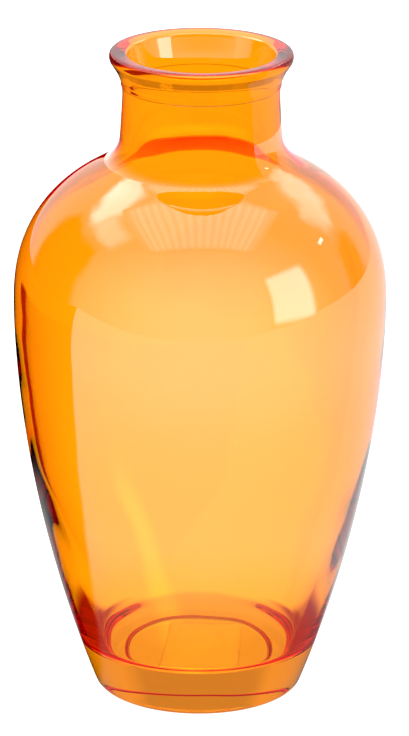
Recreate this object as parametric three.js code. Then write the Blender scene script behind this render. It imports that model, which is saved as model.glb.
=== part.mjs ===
// Glass bud vase: a thick-footed bottle of clear glass with a short flared neck, and a paper label
// stuck in the recess under its foot. Millimetres, +Z up, origin at the centre of the foot.
import * as THREE from "three";

// ---- Driving dimensions ----

// Heights, stacked from the foot to the lip.
const bodyHeight = 105; // foot to the widest point
const shoulderHeight = 32.6; // widest point to the foot of the neck fillet
const filletHeight = 8.7; // the hollow sweep from the shoulder into the neck
const neckHeight = 10.6; // the straight neck
const flareHeight = 11.1; // narrowest point of the neck to the top of the lip

// Outside radii.
const footRadius = 26; // where the side would meet the table if the heel were sharp
const bodyRadius = 47.2; // widest point of the body
const neckRadius = 19.7; // neck at its narrowest, under the flare
const neckTaper = 0.6; // the neck is this much wider at its root
const filletWidth = 6.9; // how far the fillet reaches out from the neck's root
const lipOverhang = 3.6; // how far the lip stands out past the neck

// Directions and edges of the outside.
const sideLean = 0.386; // how far the side leans out at the foot, in radius per height
const shoulderSlope = 0.495; // rise of the shoulder where it meets the fillet, in height per radius
const flareSlope = 1.4; // rise of the flare where it meets the lip, in height per radius
const heelRadius = 3; // rounding between the side and the bearing ring
const lipRounding = 1.1; // rounding of the lip's outer and inner edges
const lipUndercut = 0.25; // the lip's outer edge bulges out by this much over the flare
const lipFall = 0.5; // the lip's top face is this much lower at its inner edge

// How far each curve holds its end direction, as a share of the stretch that it crosses.
const sideHold = 0.42;
const bellyHold = 0.227;
const shoulderTopHold = 0.549;
const shoulderEndHold = 0.47;
const filletStartHold = 0.54;
const filletEndHold = 0.4;
const flareHold = 0.4;
const lipHold = 0.44;

// Wall thickness, measured square to the outer surface.
const lipWall = 4.0;
const neckWall = 3.1;
const shoulderWall = 3.2;
const bodyWall = 2.7;
const footWall = 5.3;
const taperHeight = 60; // the wall thins from the foot up to here, then stays

// The floor, and the rounding between it and the wall inside.
const floorThickness = 12.5;
const cavityCornerHeight = 3;
const cavityCornerWidth = 3.5;
const cavityCornerHold = 0.75;

// The underside: a bearing ring round a shallow recess with a slanted edge.
const bearingWidth = 4.4;
const recessDepth = 1.2;
const recessStep = 0.8; // how far in the slanted edge runs

// The paper label, centred in the recess, with its corners clear of the slanted edge.
const labelWidth = 20;
const labelCornerRadius = 1.5;
const labelThickness = 0.12;
const labelGlue = 0.05; // glue between the glass and the label
const labelMargin = 0.3; // from the label's corners to the slanted edge
const labelOffset = 1.1; // how far off the axis it was stuck
const labelTurn = THREE.MathUtils.degToRad(-5);

// ---- Sizes that follow ----
const shoulderEndHeight = bodyHeight + shoulderHeight;
const neckRootHeight = shoulderEndHeight + filletHeight;
const narrowestHeight = neckRootHeight + neckHeight;
const height = narrowestHeight + flareHeight;
const neckRootRadius = neckRadius + neckTaper;
const shoulderEndRadius = neckRootRadius + filletWidth;
const lipRadius = neckRadius + lipOverhang;
const heelReach = heelRadius * Math.tan((Math.PI / 2 - Math.atan(sideLean)) / 2);
const bearingOuterRadius = footRadius - heelReach;
const recessRadius = bearingOuterRadius - bearingWidth;
const labelReach = recessRadius - recessStep - labelMargin - labelOffset; // half the label's diagonal
const labelLength = 2 * Math.sqrt(labelReach ** 2 - (labelWidth / 2) ** 2);

// ---- Fineness of the facets ----
const segments = 48; // round the axis
const sideSteps = 16;
const shoulderSteps = 9;
const filletSteps = 6;
const flareSteps = 6;
const heelSteps = 4;
const lipSteps = 3;
const cavityCornerSteps = 5;
const labelCornerSteps = 4;

// ---- Outlines: a point is (radius, height) ----
const at = (radius, z) => new THREE.Vector2(radius, z);

function curve(start, startHandle, endHandle, end, steps) {
  return new THREE.CubicBezierCurve(start, startHandle, endHandle, end).getPoints(steps);
}

// The rounding of a corner, between the two points where it leaves the sides.
function rounding(start, corner, end, steps) {
  return new THREE.QuadraticBezierCurve(start, corner, end).getPoints(steps);
}

const heelStart = at(bearingOuterRadius, 0);
const sideStart = at(sideLean, 1).setLength(heelReach).add(at(footRadius, 0));
const widest = at(bodyRadius, bodyHeight);
const shoulderEnd = at(shoulderEndRadius, shoulderEndHeight);
const neckRoot = at(neckRootRadius, neckRootHeight);
const narrowest = at(neckRadius, narrowestHeight);
const flareEnd = at(lipRadius - lipUndercut, height - 2 * lipRounding);

function heel() {
  return rounding(heelStart, at(footRadius, 0), sideStart, heelSteps);
}

function side() {
  const along = at(sideLean, 1).setLength(bodyHeight * sideHold);
  const startHandle = sideStart.clone().add(along);
  const endHandle = at(bodyRadius, bodyHeight * (1 - bellyHold));
  return curve(sideStart, startHandle, endHandle, widest, sideSteps);
}

function shoulder() {
  const startHandle = at(bodyRadius, bodyHeight + shoulderHeight * shoulderTopHold);
  const reach = (bodyRadius - shoulderEndRadius) * shoulderEndHold;
  const endHandle = at(shoulderEndRadius + reach, shoulderEndHeight - reach * shoulderSlope);
  return curve(widest, startHandle, endHandle, shoulderEnd, shoulderSteps);
}

function fillet() {
  const reach = filletWidth * filletStartHold;
  const startHandle = at(shoulderEndRadius - reach, shoulderEndHeight + reach * shoulderSlope);
  const endHandle = at(neckRootRadius, neckRootHeight - filletHeight * filletEndHold);
  return curve(shoulderEnd, startHandle, endHandle, neckRoot, filletSteps);
}

function flare() {
  const startHandle = at(neckRadius, narrowestHeight + flareHeight * flareHold);
  const reach = lipOverhang * lipHold;
  const endHandle = at(flareEnd.x - reach, flareEnd.y - reach * flareSlope);
  return curve(narrowest, startHandle, endHandle, flareEnd, flareSteps);
}

// The outside, from the bearing ring up to the start of the lip's rounding.
function outsideProfile() {
  const rest = [side(), shoulder(), fillet()].flatMap((stretch) => stretch.slice(1));
  return [...heel(), ...rest, ...flare()];
}

// Wall thickness at a height: straight between the named stations.
function wallAt(z) {
  const stations = [
    [0, footWall],
    [taperHeight, bodyWall],
    [bodyHeight, bodyWall],
    [shoulderEndHeight, shoulderWall],
    [neckRootHeight, neckWall],
    [narrowestHeight, neckWall],
    [height, lipWall],
  ];
  const upper = stations.findIndex(([stationHeight]) => stationHeight >= z);
  if (upper <= 0) return footWall;
  const [lowHeight, lowWall] = stations[upper - 1];
  const [highHeight, highWall] = stations[upper];
  return THREE.MathUtils.mapLinear(z, lowHeight, highHeight, lowWall, highWall);
}

// The outside moved inwards, square to itself, by the wall's thickness.
function insideProfile(outside) {
  return outside.map((point, i) => {
    const before = outside[Math.max(i - 1, 0)];
    const after = outside[Math.min(i + 1, outside.length - 1)];
    const inwards = at(before.y - after.y, after.x - before.x).setLength(wallAt(point.y));
    return point.clone().add(inwards);
  });
}

// The lip's outer rounding, its top face, and its inner rounding down to the mouth.
function lip(mouthRadius) {
  const mouthTop = height - lipFall;
  const outer = rounding(
    flareEnd,
    at(lipRadius, height),
    at(lipRadius - lipRounding, height),
    lipSteps,
  );
  const inner = rounding(
    at(mouthRadius + lipRounding, mouthTop + lipFall / 3),
    at(mouthRadius, mouthTop),
    at(mouthRadius, mouthTop - lipRounding),
    lipSteps,
  );
  return [...outer.slice(1), ...inner];
}

// The rounding from the wall down to the floor of the cavity.
function cavityCorner(wallFoot) {
  const end = at(wallFoot.x - cavityCornerWidth, floorThickness);
  const corner = at(wallFoot.x - cavityCornerWidth * (1 - cavityCornerHold), floorThickness);
  return rounding(wallFoot, corner, end, cavityCornerSteps);
}

// The inside of the wall, from the height where the cavity's corner ends up to the lip.
function insideWall(outside, bottom, top) {
  const inside = insideProfile(outside);
  const first = inside.findIndex((point) => point.y > bottom);
  const below = inside[first - 1];
  const start = below.clone().lerp(inside[first], (bottom - below.y) / (inside[first].y - below.y));
  return [start, ...inside.slice(first).filter((point) => point.y < top)];
}

// The closed half-section of the glass, from the axis in the recess round to the axis on the floor.
function glassProfile() {
  const outside = outsideProfile();
  const wallTop = height - lipFall - lipRounding;
  const wall = insideWall(outside, floorThickness + cavityCornerHeight, wallTop).reverse();
  const recess = [at(0, recessDepth), at(recessRadius - recessStep, recessDepth), at(recessRadius, 0)];
  return [
    ...recess,
    ...outside,
    ...lip(wall[0].x),
    ...wall.slice(1),
    ...cavityCorner(wall[wall.length - 1]).slice(1),
    at(0, floorThickness),
  ];
}

function vaseGlass() {
  const geometry = new THREE.LatheGeometry(glassProfile(), segments).rotateX(Math.PI / 2);
  const material = new THREE.MeshStandardMaterial({
    color: 0xfca919,
    roughness: 0.02,
    metalness: 0,
    transparent: true,
    opacity: 0.5,
  });
  const mesh = new THREE.Mesh(geometry, material);
  mesh.name = "vase_glass";
  return mesh;
}

// A rectangle with round corners, centred on the origin.
function roundedRectangle(width, length, cornerRadius) {
  const x = width / 2 - cornerRadius;
  const y = length / 2 - cornerRadius;
  const quarter = Math.PI / 2;
  const outline = new THREE.Shape();
  outline.absarc(x, y, cornerRadius, 0, quarter);
  outline.absarc(-x, y, cornerRadius, quarter, 2 * quarter);
  outline.absarc(-x, -y, cornerRadius, 2 * quarter, 3 * quarter);
  outline.absarc(x, -y, cornerRadius, 3 * quarter, 4 * quarter);
  return outline;
}

function footLabel() {
  const outline = roundedRectangle(labelWidth, labelLength, labelCornerRadius);
  const geometry = new THREE.ExtrudeGeometry(outline, {
    depth: labelThickness,
    bevelEnabled: false,
    curveSegments: labelCornerSteps,
  });
  const material = new THREE.MeshStandardMaterial({ color: 0xf4f1ea, roughness: 0.85, metalness: 0 });
  const mesh = new THREE.Mesh(geometry, material);
  mesh.name = "foot_label";
  mesh.position.set(labelOffset, 0, recessDepth - labelGlue - labelThickness);
  mesh.rotation.z = labelTurn;
  return mesh;
}

const vase = new THREE.Group();
vase.add(vaseGlass(), footLabel());

export default vase;
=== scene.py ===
"""Glass bud vase: the looks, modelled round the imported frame.

The vase is one piece of clear pressed glass, sprayed on the outside with an orange translucent
lacquer, with a blank paper label stuck under its foot. Metres, +Z up, the foot stands on z = 0.
"""

import math

import bpy
from mathutils import Euler, Matrix, Vector


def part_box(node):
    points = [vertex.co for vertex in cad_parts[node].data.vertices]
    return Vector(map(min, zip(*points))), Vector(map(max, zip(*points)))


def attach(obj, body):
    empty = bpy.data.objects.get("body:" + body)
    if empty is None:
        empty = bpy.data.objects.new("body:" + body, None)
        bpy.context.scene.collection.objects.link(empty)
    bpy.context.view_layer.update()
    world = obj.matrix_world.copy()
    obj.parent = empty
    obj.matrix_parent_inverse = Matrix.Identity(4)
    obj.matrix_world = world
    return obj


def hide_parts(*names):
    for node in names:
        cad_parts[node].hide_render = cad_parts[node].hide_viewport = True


MM = 0.001

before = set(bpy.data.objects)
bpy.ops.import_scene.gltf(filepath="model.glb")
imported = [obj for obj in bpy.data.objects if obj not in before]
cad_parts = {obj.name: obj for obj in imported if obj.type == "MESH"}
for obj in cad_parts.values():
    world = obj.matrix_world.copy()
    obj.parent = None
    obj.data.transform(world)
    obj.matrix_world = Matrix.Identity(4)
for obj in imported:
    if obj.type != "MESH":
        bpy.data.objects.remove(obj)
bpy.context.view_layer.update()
glass_low, glass_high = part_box("vase_glass")
label_low, label_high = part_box("foot_label")

# ---- Sizes of the glass, in millimetres, as the frame has them ----
HEIGHT = glass_high.z / MM
BODY_RADIUS = glass_high.x / MM
BODY_HEIGHT = 105.0
SHOULDER_HEIGHT = 32.6
FILLET_HEIGHT = 8.7
NECK_HEIGHT = 10.6
FOOT_RADIUS = 26.0
NECK_RADIUS = 19.7
NECK_TAPER = 0.6
FILLET_WIDTH = 6.9
LIP_OVERHANG = 3.6
SIDE_LEAN = 0.386
SHOULDER_SLOPE = 0.495
FLARE_SLOPE = 1.4
HEEL_RADIUS = 3.0
LIP_ROUNDING = 1.1
LIP_UNDERCUT = 0.25
LIP_FALL = 0.5
FLOOR_THICKNESS = 12.5
CORNER_HEIGHT = 3.0
CORNER_WIDTH = 3.5
BEARING_WIDTH = 4.4
RECESS_DEPTH = 1.2
RECESS_STEP = 0.8
LIP_WALL = 4.0
NECK_WALL = 3.1
SHOULDER_WALL = 3.2
BODY_WALL = 2.7
FOOT_WALL = 5.3
TAPER_HEIGHT = 60.0
PARTING_HEIGHT = 159.5
PARTING_REACH = 0.45
PARTING_RISE = 0.22
LABEL_WIDTH = 20.0
LABEL_CORNER = 1.5
LABEL_TURN = -5.0
LABEL_CLEARANCE = 1.4  # from the label's corners to the recess's slanted edge

# Handles of the outline's curves, as shares of the height or width that each curve spans.
SIDE_START_HANDLE = 0.42
SIDE_END_HANDLE = 0.227
SHOULDER_START_HANDLE = 0.549
SHOULDER_END_HANDLE = 0.47
FILLET_START_HANDLE = 0.54
FILLET_END_HANDLE = 0.4
FLARE_START_HANDLE = 0.4
FLARE_END_HANDLE = 0.44

# Where the lacquer ends, in millimetres, and two shares of a radius.
COAT_START = 0.2  # above the table
FACING_OUT = 0.02  # least outward turn of a coated face, as a share of its distance from the axis
SIDE_FROM = 0.9  # the side starts here, as a share of the foot's radius
BARE_HEIGHT = 1.5  # under this height the recess and the bearing ring are bare
BARE_BORDER = 0.5  # how far they are bare outside the bearing ring

SHOULDER_END = Vector((NECK_RADIUS + NECK_TAPER + FILLET_WIDTH, BODY_HEIGHT + SHOULDER_HEIGHT))
NECK_ROOT = Vector((NECK_RADIUS + NECK_TAPER, SHOULDER_END.y + FILLET_HEIGHT))
NARROWEST = Vector((NECK_RADIUS, NECK_ROOT.y + NECK_HEIGHT))
FLARE_HEIGHT = HEIGHT - NARROWEST.y
LIP_RADIUS = NECK_RADIUS + LIP_OVERHANG
FLARE_END = Vector((LIP_RADIUS - LIP_UNDERCUT, HEIGHT - 2 * LIP_ROUNDING))
WIDEST = Vector((BODY_RADIUS, BODY_HEIGHT))
HEEL_REACH = HEEL_RADIUS * math.tan((math.pi / 2 - math.atan(SIDE_LEAN)) / 2)
SIDE_WAY = Vector((SIDE_LEAN, 1)).normalized()
SIDE_START = Vector((FOOT_RADIUS, 0)) + SIDE_WAY * HEEL_REACH
BEARING_OUTER = FOOT_RADIUS - HEEL_REACH
RECESS_RADIUS = BEARING_OUTER - BEARING_WIDTH

LABEL_REACH = RECESS_RADIUS - RECESS_STEP - LABEL_CLEARANCE
LABEL_LENGTH = 2 * math.sqrt(LABEL_REACH**2 - (LABEL_WIDTH / 2) ** 2)

SEGMENTS = 64  # round the axis, before subdivision
SMOOTHING = 2  # subdivision levels of the glass


# ---- Camera ----
LENS = 254.8  # in millimetres, on a sensor 36 mm wide
CAMERA_BACK = 7.4438  # in heights of the vase
CAMERA_UP = 3.0471
LOOK_DOWN = 18.864  # in degrees, as are the next two
LOOK_ASIDE = -0.0555
ROLL = 0.34


def add_camera():
    """A long lens, looking down on the vase from the front."""
    data = bpy.data.cameras.new("camera")
    data.lens = LENS
    data.sensor_width = 36
    data.clip_start = 0.05
    data.clip_end = 50
    camera = bpy.data.objects.new("camera", data)
    bpy.context.scene.collection.objects.link(camera)
    height = HEIGHT * MM
    camera.location = (0, -CAMERA_BACK * height, CAMERA_UP * height)
    aim = Euler((math.radians(90 - LOOK_DOWN), 0, math.radians(LOOK_ASIDE))).to_matrix()
    roll = Matrix.Rotation(math.radians(ROLL), 3, "Z")
    camera.rotation_euler = (aim @ roll).to_euler()
    bpy.context.scene.camera = camera


# ---- Outline of the glass ----
def bezier(start, start_handle, end_handle, end, steps):
    """Points along a cubic curve, without its first one."""
    points = []
    for i in range(1, steps + 1):
        t = i / steps
        u = 1 - t
        points.append(
            u**3 * start + 3 * u * u * t * start_handle + 3 * u * t * t * end_handle + t**3 * end
        )
    return points


def rounding(start, corner, end, steps):
    """Points round a corner, without the first one."""
    return bezier(start, start.lerp(corner, 2 / 3), end.lerp(corner, 2 / 3), end, steps)


def outside_outline():
    """From the bearing ring, up the side and the neck, to the start of the lip's rounding."""
    start = Vector((BEARING_OUTER, 0))
    points = [start]
    points += rounding(start, Vector((FOOT_RADIUS, 0)), SIDE_START, 4)
    points += bezier(
        SIDE_START,
        SIDE_START + SIDE_WAY * BODY_HEIGHT * SIDE_START_HANDLE,
        Vector((BODY_RADIUS, BODY_HEIGHT * (1 - SIDE_END_HANDLE))),
        WIDEST,
        14,
    )
    reach = (BODY_RADIUS - SHOULDER_END.x) * SHOULDER_END_HANDLE
    points += bezier(
        WIDEST,
        Vector((BODY_RADIUS, BODY_HEIGHT + SHOULDER_HEIGHT * SHOULDER_START_HANDLE)),
        SHOULDER_END + Vector((reach, -reach * SHOULDER_SLOPE)),
        SHOULDER_END,
        9,
    )
    reach = FILLET_WIDTH * FILLET_START_HANDLE
    points += bezier(
        SHOULDER_END,
        SHOULDER_END + Vector((-reach, reach * SHOULDER_SLOPE)),
        NECK_ROOT - Vector((0, FILLET_HEIGHT * FILLET_END_HANDLE)),
        NECK_ROOT,
        6,
    )
    points += bezier(
        NECK_ROOT, NECK_ROOT.lerp(NARROWEST, 1 / 3), NECK_ROOT.lerp(NARROWEST, 2 / 3), NARROWEST, 3
    )
    reach = LIP_OVERHANG * FLARE_END_HANDLE
    points += bezier(
        NARROWEST,
        NARROWEST + Vector((0, FLARE_HEIGHT * FLARE_START_HANDLE)),
        FLARE_END - Vector((reach, reach * FLARE_SLOPE)),
        FLARE_END,
        6,
    )
    return points


def with_parting_line(outside):
    """The same points with the fine ridge that the neck mould leaves round the flare."""
    low, high = PARTING_HEIGHT - PARTING_REACH, PARTING_HEIGHT + PARTING_REACH
    points = []
    for below, above in zip(outside, outside[1:]):
        points.append(below)
        if below.y < low and above.y > high:
            for height, rise in ((low, 0), (PARTING_HEIGHT, PARTING_RISE), (high, 0)):
                point = below.lerp(above, (height - below.y) / (above.y - below.y))
                points.append(point + Vector((rise, 0)))
    return points + [outside[-1]]


def wall_at(height):
    """Wall thickness at a height: straight between the named stations."""
    stations = [
        (0, FOOT_WALL),
        (TAPER_HEIGHT, BODY_WALL),
        (BODY_HEIGHT, BODY_WALL),
        (SHOULDER_END.y, SHOULDER_WALL),
        (NECK_ROOT.y, NECK_WALL),
        (NARROWEST.y, NECK_WALL),
        (HEIGHT, LIP_WALL),
    ]
    for (low, low_wall), (high, high_wall) in zip(stations, stations[1:]):
        if height <= high:
            return low_wall + (high_wall - low_wall) * (height - low) / (high - low)
    return LIP_WALL


def inside_outline(outside):
    """The outside moved inwards, square to itself, by the wall's thickness."""
    points = []
    for i, point in enumerate(outside):
        before = outside[max(i - 1, 0)]
        after = outside[min(i + 1, len(outside) - 1)]
        along = (after - before).normalized()
        points.append(point + Vector((-along.y, along.x)) * wall_at(point.y))
    return points


def glass_outline():
    """Radius and height of each ring, from the middle of the recess round to the cavity's floor."""
    outside = outside_outline()
    mouth_top = HEIGHT - LIP_FALL
    inside = inside_outline(outside)
    bottom = FLOOR_THICKNESS + CORNER_HEIGHT
    first = next(i for i, point in enumerate(inside) if point.y > bottom)
    below, above = inside[first - 1], inside[first]
    wall = [below.lerp(above, (bottom - below.y) / (above.y - below.y))]
    wall += [point for point in inside[first:] if point.y < mouth_top - LIP_ROUNDING]
    wall.reverse()
    mouth = wall[0].x
    points = [Vector((2, RECESS_DEPTH)), Vector((10, RECESS_DEPTH))]
    edge = RECESS_RADIUS - RECESS_STEP
    points += [Vector((edge - 0.6, RECESS_DEPTH)), Vector((edge, RECESS_DEPTH))]
    points += [Vector((RECESS_RADIUS, 0)), Vector((RECESS_RADIUS + 0.6, 0))]
    points += [Vector((RECESS_RADIUS + BEARING_WIDTH / 2, 0))]
    points += with_parting_line(outside)
    lip_inner = Vector((mouth + LIP_ROUNDING, mouth_top + LIP_FALL / 3))
    points += rounding(
        FLARE_END,
        Vector((LIP_RADIUS, HEIGHT)),
        Vector((LIP_RADIUS - LIP_ROUNDING, HEIGHT)),
        3,
    )
    points += [lip_inner]
    points += rounding(
        lip_inner, Vector((mouth, mouth_top)), Vector((mouth, mouth_top - LIP_ROUNDING)), 3
    )
    points += wall[1:]
    end = Vector((wall[-1].x - CORNER_WIDTH, FLOOR_THICKNESS))
    corner = Vector((wall[-1].x - CORNER_WIDTH * 0.25, FLOOR_THICKNESS))
    points += rounding(wall[-1], corner, end, 6)
    points += [Vector((end.x * 0.7, FLOOR_THICKNESS)), Vector((2, FLOOR_THICKNESS))]
    return points


# ---- Modelling helpers ----
def deselect():
    bpy.ops.object.select_all(action="DESELECT")


def turned(name, outline, segments):
    """A closed turned shape: a circle extruded from ring to ring, with both poles filled."""
    deselect()
    first = outline[0]
    bpy.ops.mesh.primitive_circle_add(
        vertices=segments, radius=first.x * MM, location=(0, 0, first.y * MM)
    )
    piece = bpy.context.object
    piece.name = name
    bpy.ops.object.transform_apply(location=True)
    bpy.ops.object.mode_set(mode="EDIT")
    bpy.ops.mesh.select_all(action="SELECT")
    bpy.ops.mesh.edge_face_add()
    bpy.ops.mesh.select_all(action="SELECT")
    for below, ring in zip(outline, outline[1:]):
        bpy.ops.mesh.extrude_edges_move(
            TRANSFORM_OT_translate={"value": (0, 0, (ring.y - below.y) * MM)}
        )
        scale = ring.x / below.x
        bpy.ops.transform.resize(value=(scale, scale, 1), center_override=(0, 0, ring.y * MM))
    bpy.ops.mesh.edge_face_add()
    bpy.ops.mesh.select_all(action="SELECT")
    bpy.ops.mesh.remove_doubles(threshold=0.00001)
    bpy.ops.mesh.normals_make_consistent(inside=False)
    bpy.ops.object.mode_set(mode="OBJECT")
    return piece


def smooth(piece, levels):
    """Subdivides a piece for good and shades it smooth."""
    subdivision = piece.modifiers.new("smoothing", "SUBSURF")
    subdivision.levels = levels
    subdivision.render_levels = levels
    bpy.ops.object.modifier_apply(modifier=subdivision.name)
    bpy.ops.object.shade_smooth()


# ---- Materials ----
def linear(colour):
    """An sRGB hex colour as linear RGBA."""
    channels = [int(colour[i : i + 2], 16) / 255 for i in (1, 3, 5)]
    return [c / 12.92 if c <= 0.04045 else ((c + 0.055) / 1.055) ** 2.4 for c in channels] + [1]


# Shares of red, green and blue that are left of the light where it meets the lacquer.
COLOURLESS = (1, 1, 1, 1)
FIRST_CROSSING = (0.86, 0.27, 0.002, 1)
LATER_CROSSING = (0.97, 0.92, 0.6, 1)
TURNED_BACK = (0.92, 0.07, 0.04, 1)
WAVINESS = 0.0004  # height of the slow waves that pressing leaves in the glass, in metres
GLASS_IOR = 1.52


def add_node(material, kind, values=None, **settings):
    """Adds a node with its settings. A value that is another node's output is linked."""
    node = material.node_tree.nodes.new(kind)
    for setting, choice in settings.items():
        setattr(node, setting, choice)
    for socket, value in (values or {}).items():
        if isinstance(value, bpy.types.NodeSocket):
            material.node_tree.links.new(value, node.inputs[socket])
        else:
            node.inputs[socket].default_value = value
    return node


def new_material(name):
    material = bpy.data.materials.new(name)
    material.use_nodes = True
    material.node_tree.nodes.clear()
    return material


def mixed(material, share, first, second):
    """A colour between two others."""
    values = {"Factor": share, 6: first, 7: second}
    return add_node(material, "ShaderNodeMix", values, data_type="RGBA").outputs[2]


def glass_faces(name, first, later, turned_back):
    """Glass as its faces meet the light: the share of it they mirror is colourless on the outside,
    what crosses them is tinted by first or by later, and what they turn back inside by
    turned_back."""
    material = new_material(name)
    depth = add_node(material, "ShaderNodeLightPath").outputs["Transmission Depth"]
    maths, _ = mathematics(material)
    crossing = mixed(material, maths("GREATER_THAN", depth, 0.5), first, later)
    backfacing = add_node(material, "ShaderNodeNewGeometry").outputs["Backfacing"]
    mirrored = mixed(material, backfacing, COLOURLESS, turned_back)
    place = add_node(material, "ShaderNodeTexCoord").outputs["Object"]
    waves = add_node(material, "ShaderNodeTexNoise", {"Vector": place, "Scale": 38, "Detail": 1.0})
    wavy = add_node(
        material,
        "ShaderNodeBump",
        {"Strength": 1.0, "Distance": WAVINESS, "Height": waves.outputs[0]},
    ).outputs[0]
    fresnel = add_node(material, "ShaderNodeFresnel", {"IOR": GLASS_IOR, "Normal": wavy})
    bent = add_node(
        material,
        "ShaderNodeBsdfRefraction",
        {"Color": crossing, "Roughness": 0.0, "IOR": GLASS_IOR, "Normal": wavy},
    )
    gloss = add_node(
        material,
        "ShaderNodeBsdfGlossy",
        {"Color": mirrored, "Roughness": 0.0, "Normal": wavy},
    )
    shader = add_node(
        material,
        "ShaderNodeMixShader",
        {0: fresnel.outputs[0], 1: bent.outputs[0], 2: gloss.outputs[0]},
    )
    add_node(material, "ShaderNodeOutputMaterial", {"Surface": shader.outputs[0]})
    return material


def clear_glass():
    """Pressed soda-lime glass, fire-polished, so it mirrors sharply. Light that meets a bare face
    first crosses the lacquer on the other side of the wall, so it is tinted here."""
    return glass_faces("clear_soda_lime_glass", FIRST_CROSSING, COLOURLESS, COLOURLESS)


def coated_glass():
    """The same glass under an orange translucent lacquer. The dye cuts off sharply, so light loses
    nearly all of its blue and most of its green at once, and only deepens a little after that."""
    return glass_faces("orange_lacquered_glass", FIRST_CROSSING, LATER_CROSSING, TURNED_BACK)


def label_paper():
    """Uncoated label paper: off-white, matt and fibrous, and thin enough to let light through."""
    material = new_material("uncoated_label_paper")
    _, ramp = mathematics(material)
    place = add_node(material, "ShaderNodeTexCoord").outputs["Object"]
    narrow = add_node(material, "ShaderNodeVectorMath", {0: place, 1: (1, 5, 1)}, operation="MULTIPLY")
    fibres = add_node(
        material, "ShaderNodeTexNoise", {"Vector": narrow.outputs[0], "Scale": 900, "Detail": 4.0}
    ).outputs[0]
    paper = mixed(material, fibres, linear("#F6F3EC"), linear("#E4DFD2"))
    relief = add_node(
        material, "ShaderNodeBump", {"Strength": 0.6, "Distance": 0.00003, "Height": fibres}
    )
    shader = add_node(
        material,
        "ShaderNodeBsdfPrincipled",
        {
            "Base Color": paper,
            "Roughness": ramp(fibres, 0.3, 0.7, 0.84, 0.95),
            "IOR": 1.5,
            "Normal": relief.outputs[0],
        },
    )
    through = add_node(material, "ShaderNodeBsdfTranslucent", {"Color": paper})
    shader = add_node(
        material, "ShaderNodeMixShader", {0: 0.6, 1: shader.outputs[0], 2: through.outputs[0]}
    )
    add_node(material, "ShaderNodeOutputMaterial", {"Surface": shader.outputs[0]})
    return material


# ---- Pieces ----
def is_coated(face):
    """Whether the lacquer covers a face: all the outside, from just above the table up to the lip's
    top, but not the recess, the bearing ring, the mouth or the cavity."""
    centre = face.center
    radius = math.hypot(centre.x, centre.y)
    outwards = face.normal.x * centre.x + face.normal.y * centre.y
    faces_out = outwards > FACING_OUT * radius
    on_side = centre.z > COAT_START * MM and radius > FOOT_RADIUS * SIDE_FROM * MM
    on_neck = centre.z > SHOULDER_END.y * MM
    shoulder = face.normal.z > 0 and centre.z > BODY_HEIGHT * MM and outwards > 0
    underneath = centre.z < BARE_HEIGHT * MM and radius < (BEARING_OUTER + BARE_BORDER) * MM
    return (faces_out and (on_side or on_neck) or shoulder) and not underneath


def make_glass():
    """The vessel in one piece, with the lacquered faces and the bare ones told apart."""
    glass = turned("glass_vessel", glass_outline(), SEGMENTS)
    smooth(glass, SMOOTHING)
    glass.data.materials.append(coated_glass())
    glass.data.materials.append(clear_glass())
    for face in glass.data.polygons:
        face.material_index = 0 if is_coated(face) else 1
    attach(glass, "root")
    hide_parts("vase_glass")


def make_label():
    """A rounded rectangle of paper, turned a little, that touches the roof of the recess."""
    deselect()
    bpy.ops.mesh.primitive_plane_add(size=1)
    label = bpy.context.object
    label.name = "blank_label"
    bpy.ops.transform.resize(value=(LABEL_WIDTH * MM, LABEL_LENGTH * MM, 1))
    bpy.ops.object.transform_apply(scale=True)
    bpy.ops.object.mode_set(mode="EDIT")
    bpy.ops.mesh.select_all(action="SELECT")
    bpy.ops.mesh.bevel(offset=LABEL_CORNER * MM, segments=8, affect="VERTICES")
    bpy.ops.mesh.select_all(action="SELECT")
    bpy.ops.mesh.extrude_region_move(
        TRANSFORM_OT_translate={"value": (0, 0, label_high.z - label_low.z)}
    )
    bpy.ops.mesh.select_all(action="SELECT")
    bpy.ops.mesh.normals_make_consistent(inside=False)
    bpy.ops.object.mode_set(mode="OBJECT")
    middle = (label_low + label_high) / 2
    label.location = (middle.x, middle.y, label_low.z)
    label.rotation_euler.z = math.radians(LABEL_TURN)
    bpy.ops.object.transform_apply(location=True, rotation=True)
    label.data.materials.append(label_paper())
    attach(label, "root")
    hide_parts("foot_label")


# ---- Studio ----
LIGHTS_AIM = Vector((0, 0, 0.12))
STRIPES_PER_METRE = 10
EVEN_LIGHT = 1.25  # radiance of the room for all but mirroring faces
TABLE_EDGE = 0.57  # metres in front of the vase
WHITE_TABLE = (1.62, 1.6, 1.55, 1)
RED_SHADOW = (0.45, 0.05, 0.05, 1)
FLOOR_RADIUS = 12  # metres
UNDER_LABEL = 5.0  # radiance of the sheet under the label
LABEL_MARGIN = 0.2  # how much smaller than the label that sheet is, in millimetres
BOUNCES = 64


def cosine(degrees):
    return math.cos(math.radians(degrees))


def glowing(material, strength):
    """Makes a material give off white light, by a number or by another node's output."""
    shader = add_node(material, "ShaderNodeEmission", {"Strength": strength})
    add_node(material, "ShaderNodeOutputMaterial", {"Surface": shader.outputs[0]})
    return material


def add_disc(name, radius, height, material):
    """A level disc of a material, which the export leaves out."""
    deselect()
    bpy.ops.mesh.primitive_circle_add(
        vertices=96, radius=radius, fill_type="NGON", location=(0, 0, height)
    )
    disc = bpy.context.object
    disc.name = name
    disc.data.materials.append(material)
    return disc


def seen_by(thing, camera=False, glossy=False, transmission=False):
    """Shows a thing only directly, only in mirroring faces, or only through the glass."""
    thing.visible_camera = camera
    thing.visible_diffuse = camera
    thing.visible_shadow = camera
    thing.visible_glossy = glossy
    thing.visible_transmission = transmission


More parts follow.
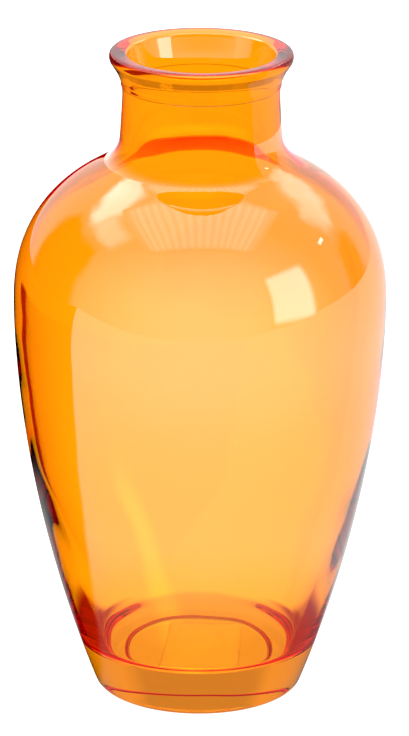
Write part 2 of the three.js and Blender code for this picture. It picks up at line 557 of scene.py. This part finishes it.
def add_table_top(name, material):
    """A rectangle of table half a millimetre under the vase, with its near edge in front."""
    deselect()
    bpy.ops.mesh.primitive_plane_add(size=1, location=(0, 0, -0.0005))
    top = bpy.context.object
    top.name = name
    bpy.ops.transform.resize(value=(6, 3, 1))
    bpy.ops.transform.translate(value=(0.3, 1.5 - TABLE_EDGE, 0))
    bpy.ops.object.transform_apply(location=True, scale=True)
    top.data.materials.append(material)
    return top


def mathematics(material):
    """Short ways to add a sum and a smooth ramp to a material or a world."""

    def maths(operation, first, second=0, third=0):
        values = {0: first, 1: second, 2: third}
        return add_node(material, "ShaderNodeMath", values, operation=operation).outputs[0]

    def ramp(value, low, high, start, end):
        values = {"Value": value, 1: low, 2: high, 3: start, 4: end}
        return add_node(
            material, "ShaderNodeMapRange", values, interpolation_type="SMOOTHSTEP"
        ).outputs[0]

    return maths, ramp


def mirrored_table():
    """The table as the faces mirror it, a painted reflection: brightest in front, with painted shade
    on the left and behind it, and a painted shadow of the vase close to its foot.
    """
    material = new_material("painted_table_reflection")
    maths, ramp = mathematics(material)
    place = add_node(material, "ShaderNodeTexCoord").outputs["Object"]
    distance = add_node(material, "ShaderNodeVectorMath", {0: place}, operation="LENGTH")
    way = add_node(material, "ShaderNodeVectorMath", {0: place}, operation="NORMALIZE")
    backwards = add_node(material, "ShaderNodeSeparateXYZ", {0: way.outputs[0]}).outputs["Y"]
    place = add_node(material, "ShaderNodeSeparateXYZ", {0: place})
    strength = maths("MULTIPLY_ADD", backwards, -1.65, 2.65)
    # Painted shadow of the vase: the mirrored table glows less close to the foot.
    near = ramp(distance.outputs["Value"], 0.045, 0.1, 0.08, 0.62)
    near = maths("ADD", near, ramp(distance.outputs["Value"], 0.1, 0.3, 0, 0.38))
    strength = maths("MULTIPLY", strength, near)
    # Painted shade: dark on the left of the vase and behind it.
    behind = maths("MULTIPLY_ADD", place.outputs["X"], -0.195, place.outputs["Y"])
    lit = ramp(behind, -0.004, 0.004, 1, 0)
    lit = maths("MAXIMUM", lit, ramp(place.outputs["X"], -0.03, -0.02, 0, 1))
    strength = maths("MULTIPLY", strength, lit)
    close = ramp(distance.outputs["Value"], 0.1, 0.17, 0.5, 0)
    right = maths("MAXIMUM", close, ramp(place.outputs["X"], -0.02, 0.02, 0, 1))
    far_side = maths("MULTIPLY", ramp(backwards, 0.4, 0.75, 0, 1), right)
    glowing(material, maths("MAXIMUM", strength, far_side))
    return material


def table_through_glass():
    """The table as it looks through the glass: white behind the vase, with a streak of focused
    light, and the vase's own red shadow round its foot and off to the left."""
    material = new_material("table_top_through_glass")
    maths, ramp = mathematics(material)
    place = add_node(material, "ShaderNodeTexCoord").outputs["Object"]
    distance = add_node(material, "ShaderNodeVectorMath", {0: place}, operation="LENGTH")
    distance = distance.outputs["Value"]
    stretched = add_node(
        material, "ShaderNodeVectorMath", {0: place, 1: (1, 1.6, 1)}, operation="MULTIPLY"
    )
    stretched = add_node(
        material, "ShaderNodeVectorMath", {0: stretched.outputs[0]}, operation="LENGTH"
    )
    place = add_node(material, "ShaderNodeSeparateXYZ", {0: place})
    side = maths("MULTIPLY", place.outputs["X"], -1)
    side = maths("MULTIPLY_ADD", place.outputs["Y"], -0.6, side)
    side = maths("SUBTRACT", side, ramp(distance, 0.09, 0.17, 0.025, 0))
    shadow = ramp(side, 0.032, 0.045, 0, 1)
    shadow = maths("MULTIPLY", shadow, ramp(distance, 0.48, 0.56, 1, 0))
    width = maths("ABSOLUTE", place.outputs["X"])
    foot = ramp(stretched.outputs["Value"], 0.054, 0.068, 1, 0)
    foot = maths("MULTIPLY", foot, ramp(distance, 0.026, 0.034, 0, 1))
    beside = maths("MAXIMUM", ramp(width, 0.016, 0.03, 0, 1), ramp(place.outputs["Y"], 0, 0.02, 1, 0))
    shadow = maths("MAXIMUM", shadow, maths("MULTIPLY", foot, beside))
    streak = maths("MULTIPLY_ADD", place.outputs["Y"], 0.15, place.outputs["X"])
    streak = maths("ABSOLUTE", maths("ADD", streak, 0.005))
    streak = maths("MULTIPLY", ramp(streak, 0.001, 0.0055, 1, 0), ramp(distance, 0.11, 0.18, 1, 0))
    middle = maths("MULTIPLY", ramp(width, 0.02, 0.09, 0.26, 0), ramp(distance, 0.3, 0.42, 1, 0))
    strength = maths("ADD", middle, ramp(distance, 0.022, 0.04, 0.55, 1))
    strength = maths("MULTIPLY_ADD", streak, 0.28, strength)
    values = {"Color": mixed(material, shadow, WHITE_TABLE, RED_SHADOW), "Strength": strength}
    shader = add_node(material, "ShaderNodeEmission", values)
    add_node(material, "ShaderNodeOutputMaterial", {"Surface": shader.outputs[0]})
    return material


def add_floor():
    """A translucent white table lit from below."""
    material = new_material("white_acrylic_table")
    shader = add_node(
        material,
        "ShaderNodeBsdfPrincipled",
        {
            "Base Color": linear("#999793"),
            "Roughness": 0.9,
            "Emission Color": linear("#FFFFFF"),
            "Emission Strength": 1.1,
        },
    )
    add_node(material, "ShaderNodeOutputMaterial", {"Surface": shader.outputs[0]})
    seen_by(add_disc("floor", FLOOR_RADIUS, 0, material), camera=True)
    seen_by(add_table_top("mirrored_table", mirrored_table()), glossy=True)
    seen_by(add_table_top("table_through_glass", table_through_glass()), transmission=True)


def add_paper_band(name, radius, low, high, start, end, material):
    """An upright band of paper round the axis, in millimetres and degrees, that only mirroring
    faces see."""
    deselect()
    bpy.ops.mesh.primitive_cylinder_add(
        vertices=128,
        radius=radius * MM,
        depth=(high - low) * MM,
        end_fill_type="NOTHING",
        location=(0, 0, (low + high) / 2 * MM),
    )
    band = bpy.context.object
    band.name = name
    bpy.ops.object.mode_set(mode="EDIT")
    for azimuth, past_end in ((end, True), (start, False)):
        a = math.radians(azimuth)
        bpy.ops.mesh.select_all(action="SELECT")
        bpy.ops.mesh.bisect(
            plane_co=(0, 0, 0),
            plane_no=(math.cos(a), math.sin(a), 0),
            clear_outer=past_end,
            clear_inner=not past_end,
        )
    bpy.ops.object.mode_set(mode="OBJECT")
    band.data.materials.append(material)
    seen_by(band, glossy=True)


def graded_paper(name, low, high, start, end):
    """Paper whose glow goes from start to end between two heights, in metres, above or below the
    middle of its band."""
    paper = new_material(name)
    _, ramp = mathematics(paper)
    place = add_node(paper, "ShaderNodeTexCoord").outputs["Object"]
    height = add_node(paper, "ShaderNodeSeparateXYZ", {0: place}).outputs["Z"]
    return glowing(paper, ramp(height, low, high, start, end))


def add_flags():
    """Glowing paper, seen only in reflections, that keeps the lamps out of the neck's faces and off
    the mouth's inner wall: painted shade in those reflections, with painted light along the lower
    edges of two bands.
    """
    # Painted light: bright along the band's lower edge, fading to nearly dark above it.
    paper = graded_paper("paper_lit_from_below", -0.014, -0.0095, 2.4, 0.02)
    add_paper_band("neck_flag", 24.2, 139.5, 168, -130, 48, paper)
    # Painted shade: a dim even glow mirrored in the neck's right side.
    paper = glowing(new_material("painted_dim_reflection"), 0.45)
    add_paper_band("neck_side_flag", 24.2, 147, 168, 48, 125, paper)
    # Painted shade in the mouth's inner wall, with painted light along the band's lower edge.
    paper = graded_paper("shaded_paper", -0.0235, -0.0145, 1.9, 0)
    add_paper_band("mouth_flag", 24.6, 168.5, 222, -75, 66, paper)


def light_label():
    """A glowing sheet under the label, a little smaller, which stands for the lit table there."""
    deselect()
    bpy.ops.mesh.primitive_plane_add(size=1)
    sheet = bpy.context.object
    sheet.name = "light_under_label"
    width = (LABEL_WIDTH - LABEL_MARGIN) * MM
    length = (LABEL_LENGTH - LABEL_MARGIN) * MM
    bpy.ops.transform.resize(value=(width, length, 1))
    sheet.location = ((label_low.x + label_high.x) / 2, 0, label_low.z - 0.3 * MM)
    sheet.rotation_euler.z = math.radians(LABEL_TURN)
    sheet.data.materials.append(glowing(new_material("lit_table_under_label"), UNDER_LABEL))
    seen_by(sheet, transmission=True)


def towards(azimuth, elevation, distance):
    """A place seen from the middle of the body: azimuth 0 is the front, 90 the right, in degrees."""
    a, e = math.radians(azimuth), math.radians(elevation)
    way = Vector((math.sin(a) * math.cos(e), -math.cos(a) * math.cos(e), math.sin(e)))
    return LIGHTS_AIM + way * distance


def add_softbox(name, width, length, place, aim, radiance, surround, edge, stripes=0.0):
    """A rectangular panel that glows towards aim, and fades to the surround over the outer share
    edge of its half width and half length. It can be striped. Only mirroring faces see it."""
    deselect()
    bpy.ops.mesh.primitive_plane_add(size=1)
    panel = bpy.context.object
    panel.name = name
    bpy.ops.transform.resize(value=(width, length, 1))
    bpy.ops.object.transform_apply(scale=True)
    panel.location = place
    panel.rotation_euler = (Vector(aim) - Vector(place)).to_track_quat("Z", "Y").to_euler()
    material = new_material(name + "_cloth")
    maths, ramp = mathematics(material)
    spot = add_node(material, "ShaderNodeTexCoord").outputs["Object"]
    spot = add_node(material, "ShaderNodeSeparateXYZ", {0: spot})
    across = maths("ABSOLUTE", spot.outputs["X"])
    along = maths("ABSOLUTE", spot.outputs["Y"])
    across = ramp(across, width / 2 * (1 - edge), width / 2, 1, 0)
    inside = maths("MULTIPLY", across, ramp(along, length / 2 * (1 - edge), length / 2, 1, 0))
    wave = maths("SINE", maths("MULTIPLY", spot.outputs["X"], STRIPES_PER_METRE * 2 * math.pi))
    glow = maths("MULTIPLY_ADD", wave, stripes, radiance - surround)
    glow = maths("MULTIPLY_ADD", inside, glow, surround)
    glowing(material, glow)
    panel.data.materials.append(material)
    seen_by(panel, glossy=True)


def add_world():
    """The room. Mirroring faces see it brightest in front, with a dark doorway on the left and a
    narrow dark gap on the right. Through the glass it is bright only behind the vase."""
    world = bpy.data.worlds.new("studio")
    world.use_nodes = True
    world.node_tree.nodes.clear()
    maths, ramp = mathematics(world)

    def dot(vector, azimuth):
        a = math.radians(azimuth)
        way = (math.sin(a), -math.cos(a), 0)
        node = add_node(world, "ShaderNodeVectorMath", {0: vector, 1: way}, operation="DOT_PRODUCT")
        return node.outputs["Value"]

    way = add_node(world, "ShaderNodeTexCoord").outputs["Generated"]
    unevenness = add_node(world, "ShaderNodeTexNoise", {"Vector": way, "Scale": 5, "Detail": 2.0})
    unevenness = add_node(
        world,
        "ShaderNodeVectorMath",
        {0: unevenness.outputs["Color"], 1: (0.16, 0.16, 0.16), 2: (-0.08, -0.08, -0.08)},
        operation="MULTIPLY_ADD",
    )
    way = add_node(world, "ShaderNodeVectorMath", {0: way, 1: unevenness.outputs[0]}).outputs[0]
    way = add_node(world, "ShaderNodeVectorMath", {0: way}, operation="NORMALIZE").outputs[0]
    level = add_node(world, "ShaderNodeVectorMath", {0: way, 1: (1, 1, 0)}, operation="MULTIPLY")
    level = add_node(world, "ShaderNodeVectorMath", {0: level.outputs[0]}, operation="NORMALIZE")
    level = level.outputs[0]
    rise = add_node(world, "ShaderNodeSeparateXYZ", {0: way}).outputs["Z"]

    def rim(azimuth, reach, core, low, lit_from, lit_to, high, radiance):
        """A soft-edged light high up at an azimuth, between two heights on the unit sphere."""
        glow = ramp(dot(level, azimuth), cosine(reach), cosine(core), 0, radiance)
        glow = maths("MULTIPLY", glow, ramp(rise, low, lit_from, 0, 1))
        return maths("MULTIPLY", glow, ramp(rise, lit_to, high, 1, 0))

    room = maths("MULTIPLY_ADD", maths("MAXIMUM", dot(way, 0), 0), 2.8, 1.1)
    doorway = ramp(dot(level, -108), cosine(26), cosine(19), 0, 1)
    doorway = maths("MULTIPLY", doorway, ramp(rise, 0.5, 0.6, 1, 0))
    gap = ramp(dot(level, 117), cosine(13), cosine(5), 0, 0.85)
    gap = maths("MULTIPLY", gap, ramp(rise, 0.3, 0.42, 1, 0))
    room = maths("MULTIPLY", room, maths("SUBTRACT", 1, doorway))
    room = maths("MULTIPLY", room, maths("SUBTRACT", 1, gap))
    for light in (
        (-136, 26, 12, 0.6, 0.68, 0.82, 0.9, 7.0),
        (-98, 26, 8, 0.6, 0.7, 0.78, 0.88, 4.0),
        (135, 24, 8, 0.4, 0.52, 0.64, 0.74, 3.2),
    ):
        room = maths("ADD", room, rim(*light))
    beyond = ramp(dot(level, 180), cosine(32), cosine(18), 1.2, 0.85)
    path = add_node(world, "ShaderNodeLightPath")
    mirrored = maths("SUBTRACT", path.outputs["Is Glossy Ray"], path.outputs["Is Transmission Ray"])
    strength = maths("MULTIPLY", room, maths("MAXIMUM", mirrored, 0))
    strength = maths("MULTIPLY_ADD", beyond, path.outputs["Is Transmission Ray"], strength)
    plain = maths("MAXIMUM", path.outputs["Is Camera Ray"], path.outputs["Is Diffuse Ray"])
    strength = maths("MULTIPLY_ADD", plain, EVEN_LIGHT, strength)
    background = add_node(
        world, "ShaderNodeBackground", {"Color": linear("#FFFFFF"), "Strength": strength}
    )
    add_node(world, "ShaderNodeOutputWorld", {"Surface": background.outputs[0]})
    bpy.context.scene.world = world


def add_studio():
    """The room, the paper, the lit label and the three panels that the glass mirrors."""
    add_world()
    add_flags()
    light_label()
    add_softbox(
        "window",
        width=0.8,
        length=1.0,
        place=(1.14, -0.68, 0.42),
        aim=(0, 0, 0.12),
        radiance=10.0,
        surround=2.4,
        edge=0.3,
    )
    add_softbox(
        "lamp",
        width=0.15,
        length=0.06,
        place=towards(103, 31, 1.3),
        aim=LIGHTS_AIM,
        radiance=14.0,
        surround=0.6,
        edge=0.5,
    )
    add_softbox(
        "ceiling",
        width=1.7,
        length=1.25,
        place=(0, -0.15, 1.5),
        aim=(0, -0.15, 0),
        radiance=4.0,
        surround=2.0,
        edge=0.25,
        stripes=0.6,
    )
    scene = bpy.context.scene
    scene.view_settings.view_transform = "Standard"
    scene.cycles.max_bounces = BOUNCES
    scene.cycles.transmission_bounces = BOUNCES
    scene.cycles.glossy_bounces = BOUNCES


add_camera()
make_glass()
make_label()
add_floor()
add_studio()
